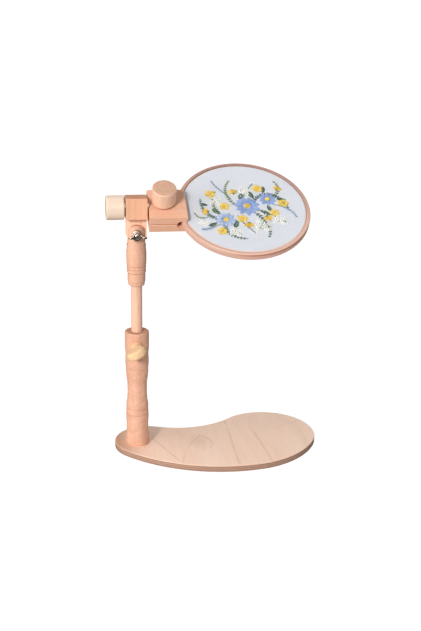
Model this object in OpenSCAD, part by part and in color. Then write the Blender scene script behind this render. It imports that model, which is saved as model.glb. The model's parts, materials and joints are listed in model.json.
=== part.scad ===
// Embroidery hoop stand: a paisley base, a turned column with a sliding mast, a fork elbow and a
// swivelling pair of jaws that grips a round hoop by its edge.
// Millimetres, +Z up. The origin is on the column's axis, at the underside of the base.
// The arm points along +X, and the elbow bolt runs along Y with its wing nut in front (-Y).

/* [Base] */
// Thickness of the plywood base
base_t = 9; // [6:0.5:18]
// Radius of the small round end, under the column
small_end_r = 42; // [30:0.5:46]
// Radius of the large round end, behind and to the right
large_end_r = 67; // [56:0.5:76]
// Radius of the round front corner
front_end_r = 63; // [50:0.5:70]
// Radius of the long front sweep
front_sweep_r = 188; // [180:1:260]
// Radius of the short sweep at the right end
right_sweep_r = 117; // [95:1:200]
// Radius of the hollow at the back
hollow_r = 100; // [85:1:180]
// Distance of the small end's centre to the right of the column
small_end_x = 12.7; // [4:0.1:16]
// Distance of the small end's centre behind the column
small_end_y = 6.5; // [0:0.5:10]
// Distance from the small end's centre to the large end's centre, along X
end_spread = 163; // [150:0.5:175]
// Distance of the large end's centre behind the small end's
end_step = 2.5; // [-5:0.5:5]
// Distance from the front corner's centre to the large end's centre, along X
front_back = 27.2; // [22:0.1:34]
// Distance of the front corner's centre in front of the large end's
front_step = 27; // [18:0.5:32]
// Wood screws that hold the column to the base
base_screw_count = 3; // [2:1:4]
// Circle on which the base screws stand
base_screw_circle_r = 11; // [10.5:0.1:12]
// Shank diameter of a base screw
base_screw_d = 3.5; // [3:0.1:4]
// Length of a base screw, head included
base_screw_len = 26; // [18:1:40]

/* [Column] */
// Height of the turned column, from the base to its top
column_h = 157; // [140:1:190]
// Diameter of the column's barrel at the top
barrel_d = 31; // [30:0.5:40]
// Diameter of the column's waist
waist_d = 25.2; // [24:0.2:29]
// Diameter of the column's foot
foot_d = 31.4; // [29:0.2:42]
// Thickness of wood under the mast's bore
bore_floor = 9; // [6:0.5:20]
// Width across the countersink round the bore
bore_mouth_d = 19; // [16:0.5:24]

/* [Mast] */
// Diameter of the mast's dowel
dowel_d = 14.2; // [13:0.1:16]
// Length of dowel that shows between column and handle
dowel_show = 60.5; // [58:0.5:80]
// How far the mast slides down and up from the height shown
slide_travel = 55; // [20:1:56]
// Length of dowel held in the handle
dowel_grip = 22; // [12:0.5:26]
// Height of the handle, from its lower end to the elbow bolt
handle_h = 67; // [60:0.5:90]
// Diameter of the handle's belly
handle_d = 25.2; // [24:0.2:29]
// Diameter of the handle at its fork, and of the fork's round top
fork_d = 24; // [22:0.2:25.4]

/* [Column thumb screw] */
// Distance of the thumb screw below the column's top
thumb_drop = 18.5; // [12:0.5:26]
// Turn of the thumb screw about the column, from straight ahead towards the left
thumb_azimuth = 5.5; // [-20:0.5:20]
// Turn of its paddle at rest
thumb_tilt = 26; // [-90:1:90]
// Diameter of its thread
thumb_thread_d = 8; // [6:0.2:10]
// Diameter of its collar at the column
thumb_collar_d = 16; // [13:0.2:17]
// Width of its paddle
paddle_w = 25; // [16:0.5:30]
// Thickness of its paddle
paddle_t = 11.2; // [8:0.2:13]
// Reach of its paddle from the column
paddle_reach = 31.5; // [28:0.5:36]

/* [Elbow] */
// Diameter of the elbow and clamp bolts, and of the swivel screw
bolt_d = 6; // [5:0.1:6.4]
// Thickness of the tongue that hangs in the fork
tongue_t = 10; // [8:0.2:11]
// Width of the tongue and diameter of its round end
tongue_w = 25.4; // [20:0.2:26]
// Distance across the fork between the seats for bolt head and washer
seat_span = 22.6; // [21:0.2:23.4]
// Diameter of the flat washers at elbow, swivel and clamp
washer_d = 14; // [12:0.5:16]
// Thickness of the flat washers
washer_t = 1.4; // [1:0.1:2]
// Diameter of a bolt's domed head
bolt_head_d = 13; // [11:0.2:14]
// Height of a bolt's domed head
bolt_head_h = 3.3; // [2.5:0.1:4]
// Span of the wing nut across its wings
wing_span = 22.5; // [20:0.5:32]
// Height of the wing nut from its seat to the wing tips
wing_h = 15; // [10:0.5:17]
// Thickness of a wing
wing_t = 2.4; // [1.6:0.1:3]
// Distance from the elbow bolt up to the arm's axis
arm_rise = 32.5; // [31:0.5:45]

/* [Head] */
// Side of the square head block
block_w = 26.6; // [24:0.2:29]
// Tilt of the jaws and the hoop about the arm, towards the front
head_tilt = 30.7; // [0:0.1:60]
// Diameter of the two round knobs
knob_d = 30; // [26:0.5:36]
// Length of the two round knobs
knob_h = 22.5; // [18:0.5:30]
// Rounding of a knob's edges
knob_round = 2; // [0.8:0.1:4]
// Length of the swivel screw beyond the block, inside the upper jaw
swivel_reach = 12.5; // [8:0.5:13]
// Outer diameter of the brass inserts
insert_d = 8.4; // [7.6:0.1:9]
// Length of the brass inserts
insert_len = 12; // [8:0.5:12]

/* [Jaws] */
// Length of the jaws along the arm
jaw_l = 47; // [45:0.5:70]
// Width of the jaws
jaw_w = 51; // [40:0.5:60]
// Thickness of one jaw
jaw_t = 11.5; // [11:0.1:16]
// Gap between the jaws where they grip
jaw_gap = 1; // [0.5:0.1:2]
// Distance from the jaws' left end to the clamp bolt
clamp_x = 18.8; // [18:0.1:24]
// Distance of the clamp bolt behind the middle of the jaws
clamp_back = 2; // [-6:0.5:6]
// How far the jaws open
jaw_travel = 5; // [1:0.5:5]
// Rounding of the wooden blocks' edges
edge_r = 1; // [0.4:0.1:1.5]

/* [Hoop] */
// Outer diameter of the outer hoop
hoop_d = 168; // [140:1:230]
// Height of the hoops
hoop_h = 10; // [8:0.1:10.4]
// Thickness of the outer hoop's wood
outer_wall = 5; // [4:0.1:7]
// Thickness of the inner hoop's wood
inner_wall = 5; // [4:0.1:6]
// Thickness of the stretched fabric
fabric_t = 0.4; // [0.2:0.1:0.8]
// Rounding of the outer hoop's outer edges
hoop_round = 1.75; // [1.2:0.05:2.2]
// Rounding of the edges where the two hoops meet
hoop_ease = 1; // [0.6:0.1:1.4]
// How deep the hoop sits between the jaws
hoop_bite = 10.2; // [8:0.1:11]
// Space left in the channel beyond the hoop
channel_slack = 3; // [2.6:0.1:4]
// Distance of the channel's middle below the seam between the jaws
channel_drop = 0.4; // [0:0.1:1]
// How far the fabric lies below the outer hoop's top
fabric_drop = 0.8; // [0:0.1:1.5]
// How far the fabric is turned down between the hoops
fabric_turn = 2; // [1:0.1:7]

/* [Clearances] */
// Radial clearance of a turning or sliding fit
run_fit = 0.1; // [0.05:0.01:0.1]
// Space between flat faces that slide past each other
side_fit = 0.2; // [0.1:0.05:0.3]
// Space between a clamped piece and what grips it
grip_fit = 0.3; // [0.2:0.05:0.4]

/* [Hidden] */
$fn = 96;
EPS = 0.01;

// Colours, as seen on the object
BEECH = [0.93, 0.72, 0.57];
PALE_BEECH = [0.97, 0.83, 0.70];
MAPLE = [0.95, 0.78, 0.58];
VENEER = [0.90, 0.78, 0.68];
STEEL = [0.78, 0.78, 0.76];
BRASS = [0.80, 0.64, 0.36];
CLOTH = [0.88, 0.89, 0.93];

// Base outline: three round ends joined by three sweeps, all tangent
small_end = [small_end_x, small_end_y];
large_end = small_end + [end_spread, end_step];
front_end = large_end - [front_back, front_step];

// Column heights
column_top = base_t + column_h;
bore_r = dowel_d / 2 + run_fit;
bore_bottom = base_t + bore_floor;
mouth_depth = (bore_mouth_d / 2 - bore_r) * 0.8;
thumb_z = column_top - thumb_drop;
thumb_seat = barrel_d / 2;
barrel_h = thumb_drop + thumb_thread_d / 2 + 2 * grip_fit;
thumb_tip = dowel_d / 2 + grip_fit;

// Mast heights
handle_z = column_top + dowel_show;
pivot_z = handle_z + handle_h;
dowel_bottom = bore_bottom + slide_travel + 2;
dowel_top = handle_z + dowel_grip;

// Turnings of the column under its waist: [radius beyond the waist's, height above the base]
low_turnings = [
  [1.6, 20], [1.55, 29], [1.9, 34], [2.15, 37.5], [2.15, 41.8], [1.4, 43], [2, 44.2], [1.75, 49.6],
  [1.15, 50.8], [1.7, 52], [1.7, 56], [0.5, 63.5]];
// Turnings between its waist and its barrel: [radius beyond the waist's, depth below the barrel]
high_turnings = [
  [1.3, 38], [1.95, 32.5], [1.95, 29.2], [1.4, 28], [1.95, 26.8], [2.5, 20.5], [2.5, 14.5],
  [2.15, 9], [2.2, 4.5]];
// Turnings of the handle under its belly: [depth below the belly's radius, height]
handle_turnings = [
  [1.45, 7], [1.35, 14.8], [1.9, 16.3], [0.75, 17.6], [0.6, 20.4], [1.25, 21.5], [0.6, 22.5],
  [0.5, 24.3], [1.1, 25.3], [0.4, 26.3], [0, 34]];

// Elbow places along Y, and the slot in the fork
seat_y = seat_span / 2;
slot_w = tongue_t + 2 * side_fit;
slot_floor = pivot_z - tongue_w / 2 - 2 * grip_fit;
bolt_r = bolt_d / 2;
nut_h = bolt_d * 0.95;
square_neck = bolt_d * 1.02;
neck_len = 3;

// Head places along X
arm_z = pivot_z + arm_rise;
block_x = block_w / 2;
jaw_x = block_x + washer_t;
jaw_end = jaw_x + jaw_l;
swivel_knob_x = -block_x - washer_t;

// Jaw levels along the jaws' own normal, measured from the arm's axis
jaw_top = jaw_t / 2;
upper_bottom = -jaw_t / 2;
lower_top = upper_bottom - jaw_gap;
lower_bottom = lower_top - jaw_t;
clamp_pos = [jaw_x + clamp_x, clamp_back];
clamp_engaged = jaw_travel + bolt_d;
channel_h = hoop_h + 2 * grip_fit;
channel_mid = upper_bottom - jaw_gap / 2 - channel_drop;
channel_end = jaw_end - hoop_bite - channel_slack;

// Hoop radii and place
hoop_r = hoop_d / 2;
outer_in_r = hoop_r - outer_wall;
cloth_r = outer_in_r - run_fit;
inner_r = cloth_r - fabric_t - run_fit;
hoop_x = jaw_end - hoop_bite + hoop_r;
hoop_bottom = channel_mid - hoop_h / 2;
inner_ease = 0.8;

// Fabric levels above the hoops' underside
fabric_top = hoop_h - fabric_drop;
fabric_low = fabric_top - fabric_t;

// Points of an arc about c, from angle a0 to a1 in n steps
function arc(c, r, a0, a1, n = 12) =
  [for (i = [0:n]) let(a = a0 + (a1 - a0) * i / n) c + r * [cos(a), sin(a)]];
// Direction from p to q in degrees
function heading(p, q) = atan2(q[1] - p[1], q[0] - p[0]);
// The next angle after a that points the way of b, turning anticlockwise
function after(a, b) = b < a ? after(a, b + 360) : (b - a >= 360 ? after(a, b - 360) : b);
// Centre of a sweep at distance d1 from p and d2 from q, on the given side of the line p to q
function sweep_centre(p, d1, q, d2, side) =
  let(d = norm(q - p), a = (d1 * d1 - d2 * d2 + d * d) / (2 * d), h = sqrt(max(0, d1 * d1 - a * a)),
      e = (q - p) / d)
  p + a * e + side * h * [-e[1], e[0]];

// Outline of the base, anticlockwise from the back of the small end
function base_outline() =
  let(f = sweep_centre(small_end, front_sweep_r - small_end_r, front_end, front_sweep_r - front_end_r, 1),
      s = sweep_centre(front_end, right_sweep_r - front_end_r, large_end, right_sweep_r - large_end_r, 1),
      h = sweep_centre(large_end, hollow_r + large_end_r, small_end, hollow_r + small_end_r, -1),
      a0 = heading(small_end, h),
      a1 = after(a0, heading(f, small_end)), a2 = after(a1, heading(f, front_end)),
      a3 = after(a2, heading(s, front_end)), a4 = after(a3, heading(s, large_end)),
      a5 = after(a4, heading(large_end, h)),
      b0 = heading(h, large_end), b1 = after(heading(h, small_end), b0))
  concat(arc(small_end, small_end_r, a0, a1, 24), arc(f, front_sweep_r, a1, a2, 20),
         arc(front_end, front_end_r, a2, a3, 8), arc(s, right_sweep_r, a3, a4, 8),
         arc(large_end, large_end_r, a4, a5, 30), arc(h, hollow_r, b1, heading(h, small_end), 16));

// Curve of a turned profile from [r0, z0] to [r1, z1], level with the axis at both ends
function swell(r0, z0, r1, z1, n = 8) =
  [for (i = [1:n]) let(t = i / n) [r0 + (r1 - r0) * (1 - cos(180 * t)) / 2, z0 + (z1 - z0) * t]];
// Turned profile that swells from the start through each of the given [radius, height] places
function turned(start, places) =
  let(all = concat([start], places))
  [for (i = [1:len(places)], p = swell(all[i - 1][0], all[i - 1][1], all[i][0], all[i][1], 6)) p];

// Square with rounded corners, centred
module round_rect(w, h, r) {
  square([w - 2 * r, h], center = true);
  square([w, h - 2 * r], center = true);
  for (x = [-1, 1], y = [-1, 1]) translate([x * (w / 2 - r), y * (h / 2 - r)]) circle(r);
}

// Box with eased edges, centred
module eased_box(s, r) {
  intersection() {
    linear_extrude(s[2], center = true) round_rect(s[0], s[1], r);
    rotate([90, 0, 0]) linear_extrude(s[1] + 2, center = true) round_rect(s[0], s[2], r);
    rotate([90, 0, 90]) linear_extrude(s[0] + 2, center = true) round_rect(s[1], s[2], r);
  }
}

// Places its children in the frame of the jaws: X along the arm, Y across, Z along the normal
module in_head() {
  translate([0, 0, arm_z]) rotate([head_tilt, 0, 0]) children();
}

// Places its children at the elbow bolt, with +Z towards the front
module at_elbow() {
  translate([0, 0, pivot_z]) rotate([90, 0, 0]) children();
}

// Places its children on the thumb screw's axis, with +Z away from the column
module at_thumb() {
  translate([0, 0, thumb_z]) rotate([0, 0, -thumb_azimuth]) rotate([90, 0, 0]) children();
}

// Flat washer standing on z = 0
module washer() {
  difference() {
    cylinder(d = washer_d, h = washer_t);
    translate([0, 0, -1]) cylinder(r = bolt_r + run_fit, h = washer_t + 2);
  }
}

// Round wooden knob standing on z = 0, with a blind hole for its insert
module round_knob(hole_depth) {
  r = knob_d / 2;
  difference() {
    rotate_extrude() polygon(concat(
      [[0, 0]],
      arc([r - knob_round, knob_round], knob_round, -90, 0, 8),
      arc([r - knob_round, knob_h - knob_round], knob_round, 0, 90, 8),
      [[0, knob_h]]));
    translate([0, 0, -1]) cylinder(r = insert_d / 2 + run_fit, h = hole_depth + 1);
  }
}

// Threaded brass insert with its mouth at z = 0 and its body above
module brass_insert() {
  difference() {
    cylinder(d = insert_d, h = insert_len);
    translate([0, 0, -1]) cylinder(r = bolt_r + run_fit / 2, h = insert_len + 2);
  }
}

// Bolt with a domed head under z = 0, a square neck and a shank of the given length
module dome_bolt(len) {
  dome_r = (bolt_head_d * bolt_head_d / 4 + bolt_head_h * bolt_head_h) / (2 * bolt_head_h);
  cylinder(r = bolt_r, h = len);
  translate([0, 0, neck_len / 2]) cube([square_neck, square_neck, neck_len], center = true);
  intersection() {
    translate([0, 0, dome_r - bolt_head_h]) sphere(dome_r);
    translate([0, 0, -bolt_head_h]) cylinder(d = bolt_head_d, h = bolt_head_h);
  }
}

// Hole for a dome_bolt whose head seats at z = 0
module dome_bolt_hole(len) {
  cylinder(r = bolt_r + run_fit, h = len);
  neck = square_neck + 2 * run_fit;
  translate([0, 0, (neck_len + run_fit) / 2 - 0.5])
    cube([neck, neck, neck_len + run_fit + 1], center = true);
}

module base_plate() {
  color(VENEER) difference() {
    linear_extrude(base_t) polygon(base_outline());
    for (i = [0:base_screw_count - 1]) rotate([0, 0, 90 + 360 * i / base_screw_count])
      translate([base_screw_circle_r, 0, 0]) base_screw_hole();
  }
}

// Countersunk hole for a base screw, with its mouth at z = 0
module base_screw_hole() {
  head_r = base_screw_d + run_fit;
  translate([0, 0, -1]) cylinder(r = base_screw_d / 2 + run_fit, h = base_t + 2);
  translate([0, 0, -EPS]) cylinder(r1 = head_r, r2 = base_screw_d / 2 + run_fit, h = base_screw_d * 0.8);
}

module base_screws() {
  color(STEEL) for (i = [0:base_screw_count - 1]) rotate([0, 0, 90 + 360 * i / base_screw_count])
    translate([base_screw_circle_r, 0, 0.2]) base_screw();
}

// Countersunk wood screw with its head at z = 0 and its point up
module base_screw() {
  r = base_screw_d / 2;
  difference() {
    rotate_extrude() polygon([
      [0, 0], [2 * r - 0.2, 0], [r, base_screw_d * 0.8 - 0.2], [r, base_screw_len - 3 * r],
      [0.3, base_screw_len], [0, base_screw_len]]);
    for (a = [0, 90]) rotate([0, 0, a]) cube([base_screw_d, 0.8, 2], center = true);
  }
}

// Turned outline of the column from the bottom up, as [radius, height above the base]
function column_profile() =
  let(foot = foot_d / 2, barrel = barrel_d / 2, waist = waist_d / 2, barrel_low = column_h - barrel_h,
      low = [for (t = low_turnings) [waist + t[0], t[1]]],
      high = [for (t = high_turnings) [waist + t[0], barrel_low - t[1]]],
      low_end = low[len(low) - 1][1], free = high[0][1] - low_end,
      waist_low = [waist, low_end + free * 0.25], waist_high = [waist, low_end + free * 0.62])
  concat(
    [[0, 0], [foot - 1.2, 0]], arc([foot - 1.6, 3], 1.6, -60, 20, 6),
    turned([foot - 0.1, 5.5], low), turned(low[len(low) - 1], [waist_low]),
    turned(waist_high, concat(high, [[barrel, barrel_low]])),
    arc([barrel - 1.8, column_h - 1.8], 1.8, 0, 90, 8), [[0, column_h]]);

module lower_column() {
  color(BEECH) difference() {
    translate([0, 0, base_t]) rotate_extrude() polygon(column_profile());
    translate([0, 0, bore_bottom]) cylinder(r = bore_r, h = column_h);
    translate([0, 0, column_top - mouth_depth])
      cylinder(r1 = bore_r, r2 = bore_mouth_d / 2, h = mouth_depth + EPS);
    translate([0, 0, column_top]) cylinder(r = bore_mouth_d / 2, h = 1);
    at_thumb() cylinder(d = thumb_thread_d + 2 * run_fit, h = barrel_d);
    for (i = [0:base_screw_count - 1]) rotate([0, 0, 90 + 360 * i / base_screw_count])
      translate([base_screw_circle_r, 0, 0])
        cylinder(r = base_screw_d / 2 + run_fit, h = base_screw_len + 1);
  }
}

// Half of the section through the thumb screw's round paddle
function paddle_section() =
  let(t = paddle_t / 2, w = paddle_w / 2, r = paddle_t * 0.38)
  concat([[0, -t]], arc([w - r, r - t], r, -90, 0, 6), arc([w - r, t - r], r, 0, 90, 6), [[0, t]]);

module thumb_screw() {
  color(MAPLE) at_thumb() rotate([0, 0, thumb_tilt]) {
    translate([0, 0, thumb_tip]) cylinder(d = thumb_thread_d, h = thumb_seat - thumb_tip + 3);
    translate([0, 0, thumb_seat + grip_fit]) {
      translate([0, 0, paddle_reach - paddle_w / 2]) rotate([90, 0, 0])
        rotate_extrude() polygon(paddle_section());
      cylinder(d1 = thumb_collar_d, d2 = thumb_thread_d, h = paddle_reach / 2);
    }
  }
}

module dowel_rod() {
  color(BEECH) rotate_extrude() polygon([
    [0, dowel_bottom], [dowel_d / 2 - 1, dowel_bottom], [dowel_d / 2, dowel_bottom + 1],
    [dowel_d / 2, dowel_top - 1], [dowel_d / 2 - 1, dowel_top], [0, dowel_top]]);
}

// Turned outline of the handle from its lower end up, as [radius, height]
function handle_profile() =
  let(belly = handle_d / 2, fork = fork_d / 2, lip = dowel_d / 2 + 1)
  concat(
    [[0, 0], [lip, 0]], arc([lip, 2.2], 2.2, -70, 0, 5),
    turned([lip + 2.2, 2.8], [for (t = handle_turnings) [belly - t[0], t[1]]]),
    turned([belly, handle_h - 24], [[fork, handle_h - 18]]),
    [[fork, handle_h + fork_d], [0, handle_h + fork_d]]);

module upper_handle() {
  color(BEECH) difference() {
    intersection() {
      translate([0, 0, handle_z]) rotate_extrude() polygon(handle_profile());
      union() {
        at_elbow() cylinder(d = fork_d, h = 2 * fork_d, center = true);
        translate([-handle_d, -handle_d, handle_z - 1]) cube([2 * handle_d, 2 * handle_d, handle_h + 1]);
      }
    }
    translate([-handle_d, -slot_w / 2, slot_floor]) cube([2 * handle_d, slot_w, 2 * handle_d]);
    translate([0, 0, handle_z - 1]) cylinder(r = bore_r, h = dowel_grip + 1 + grip_fit);
    at_elbow() {
      cylinder(r = bolt_r + run_fit, h = 2 * fork_d, center = true);
      translate([0, 0, seat_y]) cylinder(d = washer_d + 1, h = fork_d);
      translate([0, 0, -seat_y - fork_d]) cylinder(d = bolt_head_d + 1, h = fork_d);
      translate([0, 0, -seat_y]) dome_bolt_hole(neck_len);
    }
  }
}

module elbow_bolt() {
  color(STEEL) at_elbow() translate([0, 0, -seat_y])
    dome_bolt(seat_span + washer_t + nut_h + 3);
}

module elbow_washer() {
  color(STEEL) at_elbow() translate([0, 0, seat_y]) washer();
}

// Outline of the wing nut's two wings, X across and Y away from the seat
function wing_outline() =
  let(s = wing_span / 2, r = wing_span * 0.14)
  concat([[bolt_r + 1, 0.8], [bolt_d * 0.95, 1.2]], arc([s - r, wing_h - r], r, -40, 150, 10),
    [[bolt_r + 1.2, nut_h - 0.6]]);

module wing_nut() {
  color(STEEL) at_elbow() translate([0, 0, seat_y + washer_t]) difference() {
    union() {
      rotate_extrude() polygon([
        [0, 0], [bolt_d * 0.98, 0], [bolt_d, 0.5], [bolt_d * 0.84, nut_h], [0, nut_h]]);
      for (m = [0, 1]) mirror([m, 0, 0])
        rotate([90, 0, 0]) linear_extrude(wing_t, center = true) polygon(wing_outline());
    }
    translate([0, 0, -1]) cylinder(r = bolt_r + run_fit / 2, h = wing_h + 2);
  }
}

module head_block() {
  tongue_h = arm_rise - block_x;
  color(BEECH) difference() {
    union() {
      translate([0, 0, arm_z]) eased_box([block_w, block_w, block_w], edge_r);
      at_elbow() cylinder(d = tongue_w, h = tongue_t, center = true);
      translate([-tongue_w / 2, -tongue_t / 2, pivot_z]) cube([tongue_w, tongue_t, tongue_h + 2]);
    }
    at_elbow() cylinder(r = bolt_r + run_fit, h = 2 * tongue_t, center = true);
    translate([-block_w, 0, arm_z]) rotate([0, 90, 0]) cylinder(r = bolt_r + run_fit, h = 2 * block_w);
  }
}

module swivel_washer() {
  color(STEEL) translate([swivel_knob_x, 0, arm_z]) rotate([0, 90, 0]) washer();
}

module swivel_knob() {
  color(PALE_BEECH) translate([swivel_knob_x, 0, arm_z]) rotate([0, -90, 0])
    round_knob(insert_len + 1);
}

module swivel_insert() {
  color(BRASS) translate([swivel_knob_x, 0, arm_z]) rotate([0, -90, 0]) brass_insert();
}

module swivel_screw() {
  start = swivel_knob_x - insert_len;
  color(STEEL) translate([start, 0, arm_z]) rotate([0, 90, 0])
    cylinder(r = bolt_r, h = jaw_x + swivel_reach - start);
}

module jaw_washer() {
  color(STEEL) translate([block_x, 0, arm_z]) rotate([0, 90, 0]) washer();
}

// Round-ended channel that takes the hoop, open towards +X
module channel() {
  rotate([90, 0, 0]) linear_extrude(2 * jaw_w, center = true) {
    translate([channel_end + channel_h / 2, channel_mid]) circle(d = channel_h);
    translate([channel_end + channel_h / 2, channel_mid - channel_h / 2]) square([jaw_l, channel_h]);
  }
}

module upper_jaw() {
  color(BEECH) in_head() difference() {
    translate([jaw_x + jaw_l / 2, 0, 0]) eased_box([jaw_l, jaw_w, jaw_t], edge_r);
    channel();
    translate([clamp_pos[0], clamp_pos[1], -jaw_t]) cylinder(r = bolt_r + run_fit, h = 2 * jaw_t);
    translate([jaw_x - 1, 0, 0]) rotate([0, 90, 0])
      cylinder(r = insert_d / 2 + run_fit, h = insert_len + 1 + grip_fit);
    translate([jaw_x, 0, 0]) rotate([0, 90, 0]) cylinder(r = bolt_r + run_fit, h = swivel_reach + 1);
  }
}

module jaw_insert() {
  color(BRASS) translate([jaw_x, 0, arm_z]) rotate([0, 90, 0]) brass_insert();
}

module lower_jaw() {
  color(BEECH) in_head() difference() {
    translate([jaw_x + jaw_l / 2, 0, lower_bottom + jaw_t / 2]) eased_box([jaw_l, jaw_w, jaw_t], edge_r);
    channel();
    translate([clamp_pos[0], clamp_pos[1], lower_bottom]) dome_bolt_hole(jaw_t + 1);
  }
}

module clamp_bolt() {
  color(STEEL) in_head() translate([clamp_pos[0], clamp_pos[1], lower_bottom])
    dome_bolt(2 * jaw_t + jaw_gap + washer_t + clamp_engaged);
}

module clamp_washer() {
  color(STEEL) in_head() translate([clamp_pos[0], clamp_pos[1], jaw_top]) washer();
}

module clamp_knob() {
  color(BEECH) in_head() translate([clamp_pos[0], clamp_pos[1], jaw_top + washer_t])
    round_knob(max(insert_len, clamp_engaged) + 1);
}

module clamp_insert() {
  color(BRASS) in_head() translate([clamp_pos[0], clamp_pos[1], jaw_top + washer_t]) brass_insert();
}

// Ring with rounded outer and eased inner edges, from z = 0 to h
module ring(r_out, r_in, h, round_out, round_in) {
  rotate_extrude($fn = 180) polygon(concat(
    arc([r_in + round_in, round_in], round_in, 180, 270, 4),
    arc([r_out - round_out, round_out], round_out, -90, 0, 6),
    arc([r_out - round_out, h - round_out], round_out, 0, 90, 6),
    arc([r_in + round_in, h - round_in], round_in, 90, 180, 4)));
}

module outer_hoop() {
  color(BEECH) in_head() translate([hoop_x, 0, hoop_bottom])
    ring(hoop_r, outer_in_r, hoop_h, hoop_round, hoop_ease);
}

module inner_hoop() {
  color(BEECH) in_head() translate([hoop_x, 0, hoop_bottom])
    ring(inner_r, inner_r - inner_wall, fabric_low, hoop_ease, inner_ease);
}

// Stretched cloth: a flat disc over the inner hoop, turned down between the hoops
module fabric() {
  r = cloth_r - hoop_ease - fabric_t;
  turn = fabric_top - fabric_turn - hoop_ease;
  color(CLOTH) in_head() translate([hoop_x, 0, hoop_bottom]) rotate_extrude($fn = 180) polygon(concat(
    [[0, fabric_low], [inner_r + run_fit - hoop_ease, fabric_low]],
    arc([inner_r + run_fit - hoop_ease, fabric_low - hoop_ease], hoop_ease, 75, 0, 4),
    [[inner_r + run_fit, turn], [cloth_r, turn]],
    arc([r, fabric_top - hoop_ease - fabric_t], hoop_ease + fabric_t, 0, 90, 5),
    [[0, fabric_top]]));
}

base_plate();
base_screws();
lower_column();
thumb_screw();
dowel_rod();
upper_handle();
elbow_bolt();
elbow_washer();
wing_nut();
head_block();
swivel_washer();
swivel_knob();
swivel_insert();
swivel_screw();
jaw_washer();
upper_jaw();
jaw_insert();
lower_jaw();
clamp_bolt();
clamp_washer();
clamp_knob();
clamp_insert();
outer_hoop();
inner_hoop();
fabric();
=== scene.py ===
"""Looks of a wooden embroidery hoop stand: finishes, softened edges, stretched cloth and stitches.

Everything is in metres, in the frame's own axes: +Z up, the arm along +X, the front towards -Y.
"""
import json
import math
import random

import bmesh
import bpy
import numpy as np
from mathutils import Matrix, Vector


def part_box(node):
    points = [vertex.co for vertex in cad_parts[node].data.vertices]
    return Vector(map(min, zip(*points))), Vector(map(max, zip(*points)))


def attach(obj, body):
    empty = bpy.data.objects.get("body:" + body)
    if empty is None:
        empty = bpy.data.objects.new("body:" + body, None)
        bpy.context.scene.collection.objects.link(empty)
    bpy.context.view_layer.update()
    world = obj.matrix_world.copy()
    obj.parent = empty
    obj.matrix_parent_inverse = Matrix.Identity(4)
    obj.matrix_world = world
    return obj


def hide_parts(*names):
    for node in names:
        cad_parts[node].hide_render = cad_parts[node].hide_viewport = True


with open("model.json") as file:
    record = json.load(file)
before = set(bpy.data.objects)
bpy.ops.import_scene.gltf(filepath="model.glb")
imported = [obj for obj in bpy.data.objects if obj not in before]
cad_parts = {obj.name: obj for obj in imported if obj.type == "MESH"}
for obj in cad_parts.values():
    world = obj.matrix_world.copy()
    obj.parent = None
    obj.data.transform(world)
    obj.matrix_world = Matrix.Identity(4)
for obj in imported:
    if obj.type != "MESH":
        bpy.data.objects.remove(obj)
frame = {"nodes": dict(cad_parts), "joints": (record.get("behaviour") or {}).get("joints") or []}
nodes = frame["nodes"]
joints = {j["name"]: j for j in frame["joints"]}
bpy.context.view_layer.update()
MM = 0.001


def half_across(node):
    """Half of a CAD node's extent along X, which is its radius where it is round."""
    low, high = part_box(node)
    return (high.x - low.x) / 2


# Places read from the frame
ARM = Vector(joints["head_swivel"]["pos_m"])
TILT = math.atan2(joints["jaw_open"]["axis"][1], -joints["jaw_open"]["axis"][2])
HEAD = Matrix.Translation((0, 0, ARM.z)) @ Matrix.Rotation(TILT, 4, "X")
HOOP_LOW, HOOP_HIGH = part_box("outer_hoop")
HOOP_R = half_across("outer_hoop")
HOOP = Matrix.Translation((HOOP_LOW + HOOP_HIGH) / 2) @ Matrix.Rotation(TILT, 4, "X")
BASE_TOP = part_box("base_plate")[1].z
HANDLE_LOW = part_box("upper_handle")[0].z
BLOCK_HALF = half_across("head_block")
CLOTH_R = half_across("fabric")
THUMB_Z = joints["thumb_screw_turn"]["pos_m"][2]

# The hoops are this high along their own axis, and the CAD's cloth lies this far below their rim
HOOP_DEPTH = 10 * MM
CLOTH_DROP = 0.8 * MM
# Half the thickness of the CAD's cloth, and the whole thickness of the one made here
CAD_CLOTH_HALF = 0.2 * MM
CLOTH_THICK = 0.3 * MM

# Camera, at the photograph's viewing angle
PHOTO_H = 631
FOCAL_PX = 959.05
CAMERA_AT = Vector((-0.09707, -1.15781, 0.57386))
CAMERA_AIM = Vector((0.15541, 0.93590, -0.31615))
CAMERA_UP = Vector((0.03321, 0.31490, 0.94854))

# Light, as the brightness that each source gives a white card that faces it
AMBIENT = 0.22
KEY = 0.80
SIDE_KEY = 0.35
FRONT_FILL = 0.03
RIGHT_FILL = 0.26
BACK_FILL = 0.30
BOUNCE = 0.20
FLOOR_GLOW = 0.94


def make_camera():
    """The camera that was fitted to the photograph."""
    data = bpy.data.cameras.new("camera")
    data.sensor_width = 36
    data.lens = FOCAL_PX * data.sensor_width / PHOTO_H
    data.clip_start, data.clip_end = 0.05, 500
    camera = bpy.data.objects.new("camera", data)
    bpy.context.scene.collection.objects.link(camera)
    back = -CAMERA_AIM.normalized()
    right = CAMERA_UP.cross(back).normalized()
    turn = Matrix((right, back.cross(right), back)).transposed()
    camera.matrix_world = Matrix.Translation(CAMERA_AT) @ turn.to_4x4()
    bpy.context.scene.camera = camera


def make_sun(name, toward, strength, softness, colour=(1, 1, 1), mirrored=False):
    """Even light that comes from the given direction. Softness is the angle that the lamp fills."""
    data = bpy.data.lights.new(name, "SUN")
    data.energy, data.color = strength * math.pi, colour
    data.angle = math.radians(softness)
    lamp = bpy.data.objects.new(name, data)
    bpy.context.scene.collection.objects.link(lamp)
    lamp.rotation_euler = Vector(toward).to_track_quat("Z", "Y").to_euler()
    lamp.visible_glossy = mirrored


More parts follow.
